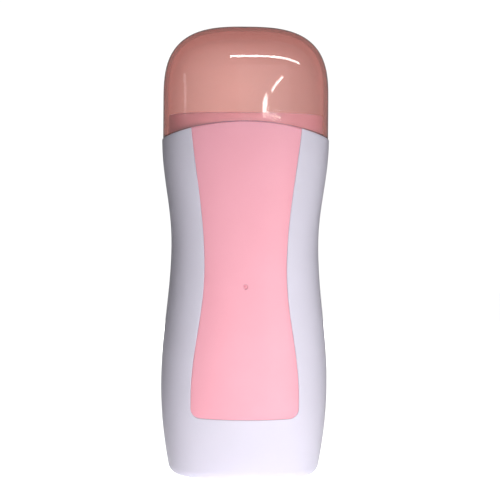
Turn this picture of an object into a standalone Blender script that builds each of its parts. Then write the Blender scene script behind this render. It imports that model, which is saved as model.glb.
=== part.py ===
"""Hand-held roll-on wax heater with a clear push-on cap.

The origin is the middle of the base. +Z is up and the front faces -Y.
"""

import math

import bmesh
import bpy
from mathutils import Vector

MM = 0.001

# Overall form
HEIGHT = 210 * MM
SQUARENESS = 2.7
RING_STEPS = 48
BODY_ROWS = 14
FIT = 0.3 * MM
HALF_FIT = FIT / 2

# Body outline: half widths (X) and half depths (Y) at the hip, waist and shoulder
HIP_Z = 43.4 * MM
WAIST_Z = 108 * MM
SHOULDER_Z = 157.3 * MM
HIP_HALF = (39.1 * MM, 29.0 * MM)
WAIST_HALF = (34.7 * MM, 27.8 * MM)
SHOULDER_HALF = (39.4 * MM, 29.0 * MM)
BASE_TAPER = (4.6 * MM, 2.6 * MM)
BASE_RADIUS = 4.5 * MM
WALL = 2.2 * MM
SHELL_TOP = 172 * MM

# Arched edge between the body and the cap
RIM_SIDE_Z = 156.6 * MM
RIM_RISE = 7.0 * MM
RIM_RADIUS = (SHOULDER_HALF[0] ** 2 + RIM_RISE**2) / (2 * RIM_RISE)
RIM_ARC_STEPS = 16
RIM_REACH = 50 * MM
CAP_GAP = 0.4 * MM

# Parting line
LIP_OFFSET = 1.1 * MM
LIP_REACH = 1.5 * MM

# Cap
CAP_HALF = (39.0 * MM, 28.6 * MM)
CAP_WALL = 1.8 * MM
CAP_DOME_Z = 175 * MM
CAP_SKIRT_Z = 154 * MM
CAP_DOME_POWER = 3.0
CAP_DOME_ROWS = 9

# Front panel
PANEL_BOTTOM_Z = 28.4 * MM
PANEL_HIP = (37.4 * MM, 24.7 * MM)
PANEL_WAIST = (96.4 * MM, 18.8 * MM)
PANEL_TOP = (184.4 * MM, 26.6 * MM)
PANEL_CORNER = 4.5 * MM
PANEL_SIDE_STEP = 7 * MM
RECESS_DEPTH = 1.3 * MM
PANEL_SKIN = 0.1 * MM
PANEL_BACK = 1.0 * MM
PANEL_PEGS = ((-10 * MM, 42 * MM), (10 * MM, 42 * MM), (-12 * MM, 140 * MM), (12 * MM, 140 * MM))
PEG_RADIUS = 1.0 * MM
PEG_END_Y = -25.2 * MM

# Cartridge well
WELL_HALF = (28 * MM, 19 * MM)
WELL_WALL = 1.0 * MM
WELL_FLOOR = 1.2 * MM
WELL_CORNER = 10 * MM
WELL_BOTTOM_Z = 61 * MM
WELL_TOP_Z = 165.7 * MM
WELL_INNER = (WELL_HALF[0] - WELL_WALL, WELL_HALF[1] - WELL_WALL)

# Neck collar
COLLAR_HALF = (36.7 * MM, 26.4 * MM)
COLLAR_WALL = 1.6 * MM
COLLAR_BOTTOM_Z = 149 * MM
COLLAR_TOP_Z = 168 * MM
COLLAR_DECK = 2.0 * MM
COLLAR_CHAMFER = 0.8 * MM
COLLAR_SKIRT_Z = 158 * MM
COLLAR_SKIRT_WALL = 1.3 * MM
LUG_X = (35.6 * MM, 38 * MM)
LUG_HALF_Y = 6 * MM
LUG_Z = (151 * MM, 153 * MM)

# Screws and bosses: (x, z) of each screw
SCREW_PLACES = ((-25 * MM, 14 * MM), (25 * MM, 14 * MM), (-32.3 * MM, 142 * MM), (32.3 * MM, 142 * MM))
SCREW_HEAD_Y = 3.3 * MM
SCREW_HEAD_HEIGHT = 2.0 * MM
SCREW_HEAD_RADIUS = 2.4 * MM
SCREW_RADIUS = 1.3 * MM
SCREW_TIP_Y = -9 * MM
BOSS_FLOOR_Y = 3.0 * MM
FRONT_BOSS_RADIUS = 3.1 * MM
REAR_BOSS_RADIUS = 3.9 * MM

# Ribs that carry the well
RIB_X = 14 * MM
RIB_HALF = 0.8 * MM
RIB_Z = (45 * MM, WELL_BOTTOM_Z - FIT)
RIB_INNER_Y = 10 * MM

# Indicator
LED_Z = 88.4 * MM
PIPE_RADIUS = 1.2 * MM
PIPE_FLANGE_RADIUS = 2.0 * MM
PIPE_TIP_Y = -27.9 * MM
PIPE_FLANGE_Y = (-25.1 * MM, -24.3 * MM)
BOARD_Y = (-22.6 * MM, -21.6 * MM)
BOARD_HALF_WIDTH = 7 * MM
BOARD_Z = (68 * MM, 98 * MM)
POST_ZS = (71.5 * MM, 95 * MM)
POST_RADIUS = 1.5 * MM
POST_PEG_RADIUS = 0.8 * MM
POST_PEG_END_Y = -20.9 * MM

# Mains inlet
INLET_Z = 16 * MM
INLET_FACE_HALF = (11.7 * MM, 8.2 * MM)
INLET_BODY_HALF = (10 * MM, 6.5 * MM)
INLET_MOUTH_HALF = (7.8 * MM, 4.4 * MM)
INLET_CORNER = 3 * MM
INLET_FACE_Y = (25.7 * MM, 26.7 * MM)
INLET_BACK_Y = 9 * MM
INLET_FLOOR_Y = 14.8 * MM
INLET_BOSS_Y = 21.4 * MM
INLET_BOSS_HALF = (13.5 * MM, 10 * MM)
INLET_CATCH_X = 11 * MM
INLET_CATCH_Y = (18.6 * MM, INLET_BOSS_Y - FIT)
INLET_CATCH_HALF_Z = 2.5 * MM
PIN_X = 4.3 * MM
PIN_RADIUS = 1.2 * MM
PIN_Y = (5 * MM, 24.5 * MM)

# Heater stack on the back of the well
SPREADER_HALF_WIDTH = 20 * MM
SPREADER_Z = (72 * MM, 112 * MM)
PTC_Z = (77 * MM, 107 * MM)
PTC_HALF_WIDTH = 9 * MM
STACK_Y = 19.3 * MM
SPREADER_THICKNESS = 1.0 * MM
PTC_THICKNESS = 2.2 * MM
MICA_THICKNESS = 0.4 * MM
SPRING_THICKNESS = 0.4 * MM
SPRING_BOW = 1.2 * MM

# Materials: colour, roughness, metallic
WHITE_ABS = ((0.86, 0.86, 0.88), 0.38, 0.0)
PINK_ABS = ((0.93, 0.42, 0.50), 0.42, 0.0)
CLEAR_PINK = ((0.80, 0.33, 0.30), 0.08, 0.0)
ALUMINIUM = ((0.80, 0.81, 0.82), 0.35, 1.0)
CERAMIC = ((0.82, 0.78, 0.70), 0.55, 0.0)
MICA = ((0.62, 0.52, 0.36), 0.40, 0.0)
STEEL = ((0.60, 0.60, 0.62), 0.30, 1.0)
FIBRE = ((0.88, 0.86, 0.80), 0.90, 0.0)
BLACK_PLASTIC = ((0.03, 0.03, 0.03), 0.45, 0.0)
BOARD_GREEN = ((0.05, 0.30, 0.12), 0.50, 0.0)
NICKEL = ((0.72, 0.70, 0.66), 0.25, 1.0)
CLEAR_EPOXY = ((0.90, 0.90, 0.88), 0.15, 0.0)
RESISTOR_TAN = ((0.72, 0.58, 0.40), 0.50, 0.0)
RED_WIRE = ((0.55, 0.04, 0.04), 0.45, 0.0)
BLUE_WIRE = ((0.05, 0.12, 0.50), 0.45, 0.0)
WHITE_WIRE = ((0.85, 0.85, 0.82), 0.50, 0.0)


def clear_scene():
    for obj in list(bpy.data.objects):
        bpy.data.objects.remove(obj, do_unlink=True)


# Materials and objects


def material(name, look):
    colour, roughness, metallic = look
    made = bpy.data.materials.new(name)
    made.use_nodes = True
    made.diffuse_color = (*colour, 1.0)
    shader = made.node_tree.nodes["Principled BSDF"]
    shader.inputs["Base Color"].default_value = (*colour, 1.0)
    shader.inputs["Roughness"].default_value = roughness
    shader.inputs["Metallic"].default_value = metallic
    return made


def finish(obj, look, sharp_degrees=35):
    """Give a piece its own material and smooth its round faces."""
    obj.data.materials.clear()
    obj.data.materials.append(material(obj.name + "_finish", look))
    if obj.type == "MESH":
        obj.data.shade_smooth()
        obj.data.set_sharp_from_angle(angle=math.radians(sharp_degrees))
    return obj


def from_bmesh(name, shape):
    bmesh.ops.recalc_face_normals(shape, faces=shape.faces)
    mesh = bpy.data.meshes.new(name)
    shape.to_mesh(mesh)
    shape.free()
    obj = bpy.data.objects.new(name, mesh)
    bpy.context.scene.collection.objects.link(obj)
    return obj


def loft(name, rings):
    """Close a stack of equal rings of points, given bottom to top, into one solid."""
    shape = bmesh.new()
    rows = [[shape.verts.new(point) for point in ring] for ring in rings]
    count = len(rows[0])
    for lower, upper in zip(rows, rows[1:]):
        for k in range(count):
            after = (k + 1) % count
            shape.faces.new((lower[k], lower[after], upper[after], upper[k]))
    shape.faces.new(list(reversed(rows[0])))
    shape.faces.new(rows[-1])
    return from_bmesh(name, shape)


def prism(name, outline, y_from, y_to):
    """Extrude an outline of (x, z) points along Y."""
    rings = [[Vector((x, y, z)) for x, z in outline] for y in (y_from, y_to)]
    return loft(name, rings)


def box(name, x_range, y_range, z_range):
    shape = bmesh.new()
    size = [high - low for low, high in (x_range, y_range, z_range)]
    centre = [(low + high) / 2 for low, high in (x_range, y_range, z_range)]
    bmesh.ops.create_cube(shape, size=1.0)
    bmesh.ops.scale(shape, vec=size, verts=shape.verts)
    bmesh.ops.translate(shape, vec=centre, verts=shape.verts)
    return from_bmesh(name, shape)


def rod(name, centre, radius, reach, axis="Y", steps=16):
    """A cylinder along an axis, through centre, over the range reach on that axis."""
    index = "XYZ".index(axis)
    first, second = [k for k in range(3) if k != index]
    rings = []
    for level in reach:
        ring = []
        for step in range(steps):
            angle = 2 * math.pi * (step + 0.5) / steps
            point = Vector(centre)
            point[index] = level
            point[first] += radius * math.cos(angle)
            point[second] += radius * math.sin(angle)
            ring.append(point)
        rings.append(ring)
    return loft(name, rings)


def boolean(target, tool, operation="DIFFERENCE"):
    """Combine a tool with a target, and keep the tool only as a guide."""
    step = target.modifiers.new(f"{operation.lower()}_{tool.name}"[:60], "BOOLEAN")
    step.operation = operation
    step.solver = "EXACT"
    step.object = tool
    tool.hide_render = True
    tool.display_type = "WIRE"


# Section and outline formulas


def ease(start, end, share):
    """Move from start to end along half a cosine wave."""
    return start + (end - start) * (1 - math.cos(math.pi * share)) / 2


def body_half(side, z):
    """Half width (side 0) or half depth (side 1) of the body at height z."""
    if z < HIP_Z:
        return HIP_HALF[side] - BASE_TAPER[side] * ((HIP_Z - z) / HIP_Z) ** 2
    if z < WAIST_Z:
        return ease(HIP_HALF[side], WAIST_HALF[side], (z - HIP_Z) / (WAIST_Z - HIP_Z))
    share = min((z - WAIST_Z) / (SHOULDER_Z - WAIST_Z), 1)
    return ease(WAIST_HALF[side], SHOULDER_HALF[side], share)


def oval(half_width, half_depth, z):
    """A superellipse ring: nearly flat front and back, round sides."""
    ring = []
    for step in range(RING_STEPS):
        angle = 2 * math.pi * (step + 0.5) / RING_STEPS
        c = math.cos(angle)
        s = math.sin(angle)
        x = half_width * math.copysign(abs(c) ** (2 / SQUARENESS), c)
        y = half_depth * math.copysign(abs(s) ** (2 / SQUARENESS), s)
        ring.append(Vector((x, y, z)))
    return ring


def body_solid(name, offset):
    """The body's solid form, shrunk all round by offset, with a rounded bottom edge."""
    radius = max(BASE_RADIUS - offset, 1 * MM)
    start = offset + radius
    rings = []
    for step in range(4):
        angle = math.radians(30 * step)
        z = start - radius * math.cos(angle)
        inset = offset + radius * (1 - math.sin(angle))
        rings.append(oval(body_half(0, z) - inset, body_half(1, z) - inset, z))
    for row in range(1, BODY_ROWS + 1):
        z = start + (SHELL_TOP - start) * row / BODY_ROWS
        rings.append(oval(body_half(0, z) - offset, body_half(1, z) - offset, z))
    return loft(name, rings)


def rounded_rectangle(half_x, half_y, radius, corner_steps=5):
    """Corner by corner points of a rectangle with round corners, as (x, y)."""
    points = []
    centres = ((1, 1), (-1, 1), (-1, -1), (1, -1))
    for quarter, (side_x, side_y) in enumerate(centres):
        for step in range(corner_steps + 1):
            angle = math.radians(90 * (quarter + step / corner_steps))
            x = side_x * (half_x - radius) + radius * math.cos(angle)
            y = side_y * (half_y - radius) + radius * math.sin(angle)
            points.append((x, y))
    return points


def upright(name, half_x, half_y, radius, z_range):
    """A rounded rectangular block that stands along Z."""
    outline = rounded_rectangle(half_x, half_y, radius)
    return loft(name, [[Vector((x, y, z)) for x, y in outline] for z in z_range])


def facing_block(name, half, radius, centre_z, y_range):
    """A rounded rectangular block that faces along Y."""
    outline = [(x, z + centre_z) for x, z in rounded_rectangle(*half, radius)]
    return prism(name, outline, *y_range)


def rim_z(x):
    """Height of the body's arched top edge at x."""
    sag = RIM_RADIUS - math.sqrt(RIM_RADIUS**2 - x**2)
    return RIM_SIDE_Z + RIM_RISE - sag


def rim_side(name, closing_z, lift):
    """Everything on one side of the arched edge, closed at the height closing_z."""
    outline = []
    for step in range(RIM_ARC_STEPS + 1):
        x = RIM_REACH * (2 * step / RIM_ARC_STEPS - 1)
        outline.append((x, rim_z(x) + lift))
    outline += [(RIM_REACH, closing_z), (-RIM_REACH, closing_z)]
    return prism(name, outline, -RIM_REACH, RIM_REACH)


def panel_half(z):
    """Half width of the front panel at height z."""
    low_z, low_half = PANEL_HIP
    mid_z, mid_half = PANEL_WAIST
    top_z, top_half = PANEL_TOP
    if z < mid_z:
        return ease(low_half, mid_half, max((z - low_z) / (mid_z - low_z), 0))
    return ease(mid_half, top_half, (z - mid_z) / (top_z - mid_z))


def panel_outline(inset):
    """Half of the panel's edge from the bottom corner up, then its mirror image."""
    half_bottom = panel_half(PANEL_BOTTOM_Z) - inset
    radius = PANEL_CORNER - inset
    bottom = PANEL_BOTTOM_Z + inset
    side = []
    for step in range(6):
        angle = math.radians(18 * step)
        x = half_bottom - radius + radius * math.sin(angle)
        side.append((x, bottom + radius - radius * math.cos(angle)))
    rows = round((SHELL_TOP - PANEL_HIP[0]) / PANEL_SIDE_STEP)
    for row in range(rows + 1):
        z = PANEL_HIP[0] + (SHELL_TOP - PANEL_HIP[0]) * row / rows
        side.append((panel_half(z) - inset, z))
    return side + [(-x, z) for x, z in reversed(side)]


# Casing


def half_block(name, y_range):
    reach = (-60 * MM, 60 * MM)
    return box(name, reach, y_range, (-10 * MM, 200 * MM))


def hollow(name, side):
    """The space inside one shell, less the bosses and ribs that stand in it.

    side is -1 for the front shell and 1 for the rear one.
    """
    space = body_solid(name, WALL)
    boss_radius = REAR_BOSS_RADIUS if side > 0 else FRONT_BOSS_RADIUS
    outward = sorted((0.0, side * 40 * MM))
    for count, (x, z) in enumerate(SCREW_PLACES, 1):
        boss = rod(f"{name}_boss_{count}", (x, 0, z), boss_radius, outward)
        boolean(space, boss)
    for word, x in (("left", -RIB_X), ("right", RIB_X)):
        y_range = sorted((side * RIB_INNER_Y, side * 40 * MM))
        rib = box(f"{name}_rib_{word}", (x - RIB_HALF, x + RIB_HALF), y_range, RIB_Z)
        boolean(space, rib)
    return space


def lug(name, word, clearance):
    """A block on one side of the collar, or with clearance the slot for it."""
    x_range = (LUG_X[0] - clearance, LUG_X[1] + clearance)
    if word == "left":
        x_range = (-x_range[1], -x_range[0])
    reach = LUG_HALF_Y + clearance
    z_range = (LUG_Z[0] - clearance, LUG_Z[1] + clearance)
    return box(f"{name}_lug_{word}", x_range, (-reach, reach), z_range)


def cut_common(shell, name):
    """Cuts that both shells share: the arched top edge and the collar's slots."""
    boolean(shell, rim_side(name + "_above_rim", 230 * MM, 0))
    for word in ("left", "right"):
        boolean(shell, lug(name, word, FIT))


def front_shell():
    shell = body_solid("front_shell", 0)
    boolean(shell, half_block("front_parting", (-HALF_FIT, 60 * MM)))
    pocket = body_solid("front_lip_pocket", LIP_OFFSET - FIT)
    boolean(pocket, half_block("front_lip_side", (-LIP_REACH - FIT, 60 * MM)), "INTERSECT")
    boolean(shell, pocket)
    space = hollow("front_hollow", -1)
    for count, z in enumerate(POST_ZS, 1):
        post = rod(f"front_post_{count}", (0, 0, z), POST_RADIUS, (-40 * MM, BOARD_Y[0] - FIT))
        peg = rod(f"front_peg_{count}", (0, 0, z), POST_PEG_RADIUS, (-30 * MM, POST_PEG_END_Y))
        boolean(space, post)
        boolean(space, peg)
    boolean(shell, space)
    recess = prism("panel_recess", panel_outline(0), -40 * MM, -8 * MM)
    boolean(recess, body_solid("panel_recess_floor", RECESS_DEPTH))
    boolean(shell, recess)
    pipe_hole = rod("pipe_hole", (0, 0, LED_Z), PIPE_RADIUS + FIT, (-40 * MM, -20 * MM))
    boolean(shell, pipe_hole)
    for count, (x, z) in enumerate(PANEL_PEGS, 1):
        hole = rod(f"panel_peg_hole_{count}", (x, 0, z), PEG_RADIUS + FIT, (-40 * MM, -20 * MM))
        boolean(shell, hole)
    for count, (x, z) in enumerate(SCREW_PLACES, 1):
        pilot = rod(f"pilot_hole_{count}", (x, 0, z), SCREW_RADIUS + FIT, (SCREW_TIP_Y - FIT, 9 * MM))
        boolean(shell, pilot)
    cut_common(shell, "front")
    return finish(shell, WHITE_ABS)


def rear_shell():
    shell = body_solid("rear_shell", 0)
    boolean(shell, half_block("rear_parting", (-60 * MM, HALF_FIT)))
    lip = body_solid("rear_lip", LIP_OFFSET)
    boolean(lip, half_block("rear_lip_side", (-LIP_REACH, 10 * MM)), "INTERSECT")
    boolean(shell, lip, "UNION")
    space = hollow("rear_hollow", 1)
    inlet_boss = facing_block(
        "inlet_boss", INLET_BOSS_HALF, INLET_CORNER, INLET_Z, (INLET_BOSS_Y, 40 * MM)
    )
    boolean(space, inlet_boss)
    boolean(shell, space)
    pocket_half = (INLET_FACE_HALF[0] + FIT, INLET_FACE_HALF[1] + FIT)
    pocket_y = (INLET_FACE_Y[0] - FIT, 40 * MM)
    boolean(shell, facing_block("inlet_pocket", pocket_half, INLET_CORNER, INLET_Z, pocket_y))
    hole_half = (INLET_BODY_HALF[0] + FIT, INLET_BODY_HALF[1] + FIT)
    boolean(shell, facing_block("inlet_hole", hole_half, INLET_CORNER, INLET_Z, (15 * MM, 30 * MM)))
    for count, (x, z) in enumerate(SCREW_PLACES, 1):
        bore = rod(f"head_bore_{count}", (x, 0, z), SCREW_HEAD_RADIUS + FIT, (BOSS_FLOOR_Y, 40 * MM))
        through = rod(f"through_{count}", (x, 0, z), SCREW_RADIUS + FIT, (-9 * MM, 9 * MM))
        boolean(shell, bore)
        boolean(shell, through)
    cut_common(shell, "rear")
    return finish(shell, WHITE_ABS)


def front_panel():
    panel = prism("front_panel", panel_outline(FIT), -40 * MM, -12 * MM)
    boolean(panel, body_solid("panel_front_form", PANEL_SKIN), "INTERSECT")
    boolean(panel, body_solid("panel_back_form", PANEL_BACK))
    for count, (x, z) in enumerate(PANEL_PEGS, 1):
        start_y = -body_half(1, z) + (PANEL_SKIN + PANEL_BACK) / 2
        peg = rod(f"panel_peg_{count}", (x, 0, z), PEG_RADIUS, (start_y, PEG_END_Y), steps=12)
        boolean(panel, peg, "UNION")
    boolean(panel, rod("panel_pipe_hole", (0, 0, LED_Z), PIPE_RADIUS + FIT, (-40 * MM, -20 * MM)))
    boolean(panel, rim_side("panel_above_rim", 230 * MM, 0))
    return finish(panel, PINK_ABS)


def neck_collar():
    half_x, half_y = COLLAR_HALF
    shoulder = COLLAR_TOP_Z - COLLAR_CHAMFER
    levels = ((COLLAR_BOTTOM_Z, 0), (shoulder, 0), (COLLAR_TOP_Z, COLLAR_CHAMFER))
    collar = loft("neck_collar", [oval(half_x - inset, half_y - inset, z) for z, inset in levels])
    inner = (half_x - COLLAR_WALL, half_y - COLLAR_WALL)
    deck_z = COLLAR_TOP_Z - COLLAR_DECK
    space = loft("collar_hollow", [oval(*inner, z) for z in (COLLAR_BOTTOM_Z - 2 * MM, deck_z)])
    skirt_gap = FIT + COLLAR_SKIRT_WALL
    skirt = upright(
        "collar_skirt",
        WELL_HALF[0] + skirt_gap,
        WELL_HALF[1] + skirt_gap,
        WELL_CORNER + skirt_gap,
        (COLLAR_SKIRT_Z, COLLAR_TOP_Z - COLLAR_DECK / 2),
    )
    boolean(space, skirt)
    boolean(collar, space)
    well_way_half = (WELL_HALF[0] + FIT, WELL_HALF[1] + FIT)
    boolean(collar, upright("collar_well_way", *well_way_half, WELL_CORNER, (140 * MM, deck_z)))
    mouth = upright("collar_mouth", *WELL_INNER, WELL_CORNER - WELL_WALL, (160 * MM, 175 * MM))
    boolean(collar, mouth)
    for word in ("left", "right"):
        boolean(collar, lug("collar", word, 0), "UNION")
    return finish(collar, WHITE_ABS)


def cap():
    def dome(name, inset, bottom):
        """The cap's outer form, or its inner one where inset is the wall thickness."""
        half_x = CAP_HALF[0] - inset
        half_y = CAP_HALF[1] - inset
        crown = HEIGHT - CAP_DOME_Z - inset
        rings = [oval(half_x, half_y, bottom)]
        for row in range(CAP_DOME_ROWS + 1):
            angle = math.radians(86 * row / CAP_DOME_ROWS)
            spread = math.cos(angle) ** (2 / CAP_DOME_POWER)
            rise = (math.sin(angle) / math.sin(math.radians(86))) ** (2 / CAP_DOME_POWER)
            z = CAP_DOME_Z + crown * rise
            rings.append(oval(half_x * spread, half_y * spread, z))
        return loft(name, rings)

    cover = dome("cap", 0, CAP_SKIRT_Z)
    boolean(cover, dome("cap_hollow", CAP_WALL, CAP_SKIRT_Z - 2 * MM))
    boolean(cover, rim_side("below_cap", 100 * MM, CAP_GAP))
    return finish(cover, CLEAR_PINK)


def case_screw(number, x, z):
    head_y = (SCREW_HEAD_Y, SCREW_HEAD_Y + SCREW_HEAD_HEIGHT)
    screw = rod(f"case_screw_{number}", (x, 0, z), SCREW_HEAD_RADIUS, head_y)
    shank = rod(f"shank_{number}", (x, 0, z), SCREW_RADIUS, (SCREW_TIP_Y, head_y[0] + 1 * MM))
    boolean(screw, shank, "UNION")
    arm = 1.5 * MM
    slot = 0.35 * MM
    slot_y = (head_y[1] - 1 * MM, head_y[1] + 1 * MM)
    across = box(f"drive_across_{number}", (x - arm, x + arm), slot_y, (z - slot, z + slot))
    down = box(f"drive_down_{number}", (x - slot, x + slot), slot_y, (z - arm, z + arm))
    boolean(screw, across)
    boolean(screw, down)
    return finish(screw, STEEL)


# Well and heater


def heating_well():
    outer = upright("heating_well", *WELL_HALF, WELL_CORNER, (WELL_BOTTOM_Z, WELL_TOP_Z))
    inside_z = (WELL_BOTTOM_Z + WELL_FLOOR, WELL_TOP_Z + 5 * MM)
    boolean(outer, upright("well_hollow", *WELL_INNER, WELL_CORNER - WELL_WALL, inside_z))
    return finish(outer, ALUMINIUM)


def insulation_sleeve():
    inner = FIT
    outer = FIT + 0.5 * MM
    z_range = (66 * MM, 134 * MM)
    sleeve = upright(
        "insulation_sleeve", WELL_HALF[0] + outer, WELL_HALF[1] + outer, WELL_CORNER + outer, z_range
    )
    hole_z = (60 * MM, 140 * MM)
    hole = upright(
        "sleeve_hollow", WELL_HALF[0] + inner, WELL_HALF[1] + inner, WELL_CORNER + inner, hole_z
    )
    boolean(sleeve, hole)
    boolean(sleeve, box("sleeve_open_back", (-40 * MM, 40 * MM), (11 * MM, 30 * MM), hole_z))
    return finish(sleeve, FIBRE)


def heater_stack():
    y = STACK_Y
    width = (-SPREADER_HALF_WIDTH, SPREADER_HALF_WIDTH)
    plate = box("heat_spreader", width, (y, y + SPREADER_THICKNESS), SPREADER_Z)
    finish(plate, ALUMINIUM)
    y += SPREADER_THICKNESS + FIT
    width = (-PTC_HALF_WIDTH, PTC_HALF_WIDTH)
    finish(box("ptc_element", width, (y, y + PTC_THICKNESS), PTC_Z), CERAMIC)
    y += PTC_THICKNESS + FIT
    sheet_z = (PTC_Z[0] - 1.5 * MM, PTC_Z[1] + 1 * MM)
    sheet_half = PTC_HALF_WIDTH + 1.5 * MM
    finish(box("mica_sheet", (-sheet_half, sheet_half), (y, y + MICA_THICKNESS), sheet_z), MICA)
    pressure_spring(y + MICA_THICKNESS + FIT)


def pressure_spring(y):
    """A bowed strip: its ends press on the mica and its middle on the rear shell."""
    reach = 12 * MM
    middle_z = (PTC_Z[0] + PTC_Z[1]) / 2
    steps = 10
    near = []
    far = []
    for step in range(steps + 1):
        share = 2 * step / steps - 1
        rise = SPRING_BOW * (1 - share**2)
        near.append((y + rise, middle_z + reach * share))
        far.append((y + rise + SPRING_THICKNESS, middle_z + reach * share))
    outline = near + list(reversed(far))
    rings = [[Vector((x, py, pz)) for py, pz in outline] for x in (-6 * MM, 6 * MM)]
    finish(loft("pressure_spring", rings), STEEL)


def thermostat():
    case = facing_block("thermostat", (3.75 * MM, 10 * MM), 1.2 * MM, 132 * MM, (19.4 * MM, 22.9 * MM))
    for word, x in (("left", -2.2 * MM), ("right", 2.2 * MM)):
        lead = rod(f"thermostat_lead_{word}", (x, 21.5 * MM, 0), 0.6 * MM, (119.5 * MM, 124 * MM), "Z", 8)
        boolean(case, lead, "UNION")
    finish(case, BLACK_PLASTIC)


def thermal_fuse():
    place = (-10 * MM, 22 * MM, 0)
    body = rod("thermal_fuse", place, 2.0 * MM, (58 * MM, 69 * MM), "Z", 14)
    leads = rod("fuse_leads", place, 0.5 * MM, (54.5 * MM, 71 * MM), "Z", 8)
    boolean(body, leads, "UNION")
    finish(body, STEEL)


# Indicator


def light_pipe():
    pipe = rod("light_pipe", (0, 0, LED_Z), PIPE_RADIUS, (PIPE_TIP_Y, PIPE_FLANGE_Y[1]), steps=20)
    flange = rod("pipe_flange", (0, 0, LED_Z), PIPE_FLANGE_RADIUS, PIPE_FLANGE_Y, steps=20)
    boolean(pipe, flange, "UNION")
    finish(pipe, CLEAR_EPOXY)


def led_board():
    width = (-BOARD_HALF_WIDTH, BOARD_HALF_WIDTH)
    board = box("led_board", width, BOARD_Y, BOARD_Z)
    for count, z in enumerate(POST_ZS, 1):
        hole = rod(f"board_hole_{count}", (0, 0, z), POST_PEG_RADIUS + FIT, (-30 * MM, -15 * MM))
        boolean(board, hole)
    finish(board, BOARD_GREEN)
    face_y = BOARD_Y[0] - FIT
    led_half = 1.2 * MM
    led_z = (LED_Z - led_half, LED_Z + led_half)
    led = box("indicator_led", (-led_half, led_half), (face_y - 0.9 * MM, face_y), led_z)
    finish(led, CLEAR_EPOXY)
    place = (-4.5 * MM, face_y - 1.1 * MM, 0)
    resistor = rod("led_resistor", place, 1.1 * MM, (78 * MM, 84.5 * MM), "Z", 12)
    finish(resistor, RESISTOR_TAN)
    place = (4.5 * MM, face_y - 1.0 * MM, 0)
    diode = rod("rectifier_diode", place, 1.0 * MM, (79 * MM, 83.5 * MM), "Z", 12)
    finish(diode, BLACK_PLASTIC)


# Inlet


def inlet():
    face = facing_block("inlet_socket", INLET_FACE_HALF, INLET_CORNER, INLET_Z, INLET_FACE_Y)
    body_y = (INLET_BACK_Y, INLET_FACE_Y[0] + 0.5 * MM)
    body = facing_block("inlet_body", INLET_BODY_HALF, INLET_CORNER, INLET_Z, body_y)
    boolean(face, body, "UNION")
    catch_x = (-INLET_CATCH_X, INLET_CATCH_X)
    catch_z = (INLET_Z - INLET_CATCH_HALF_Z, INLET_Z + INLET_CATCH_HALF_Z)
    boolean(face, box("inlet_catches", catch_x, INLET_CATCH_Y, catch_z), "UNION")
    mouth_y = (INLET_FLOOR_Y, INLET_FACE_Y[1] + 1 * MM)
    mouth_radius = INLET_MOUTH_HALF[1] - FIT
    mouth = facing_block("inlet_mouth", INLET_MOUTH_HALF, mouth_radius, INLET_Z, mouth_y)
    boolean(face, mouth)
    for word, x in (("left", -PIN_X), ("right", PIN_X)):
        hole = rod(f"pin_hole_{word}", (x, 0, INLET_Z), PIN_RADIUS + FIT, (5 * MM, 18 * MM))
        boolean(face, hole)
        finish(rod(f"inlet_pin_{word}", (x, 0, INLET_Z), PIN_RADIUS, PIN_Y), NICKEL)
    finish(face, BLACK_PLASTIC)


# Wires


def smooth_route(places, spacing):
    """Points along a Catmull-Rom curve through the places, which are in millimetres."""
    stops = [Vector(place) * MM for place in places]
    stops = [2 * stops[0] - stops[1], *stops, 2 * stops[-1] - stops[-2]]
    route = []
    for before, start, end, after in zip(stops, stops[1:], stops[2:], stops[3:]):
        steps = max(round((end - start).length / spacing), 1)
        for step in range(steps):
            t = step / steps
            slope = (end - before) * t
            bend = (2 * before - 5 * start + 4 * end - after) * t**2
            turn = (3 * start - before - 3 * end + after) * t**3
            route.append(start + (slope + bend + turn) / 2)
    route.append(stops[-2])
    return route


def wire(name, places, diameter, look):
    route = smooth_route(places, 3 * diameter)
    curve = bpy.data.curves.new(name, "CURVE")
    curve.dimensions = "3D"
    curve.bevel_depth = diameter / 2
    curve.bevel_resolution = 2
    curve.use_fill_caps = True
    spline = curve.splines.new("POLY")
    spline.points.add(len(route) - 1)
    for point, place in zip(spline.points, route):
        point.co = (*place, 1.0)
    obj = bpy.data.objects.new(name, curve)
    bpy.context.scene.collection.objects.link(obj)
    return finish(obj, look)


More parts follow.
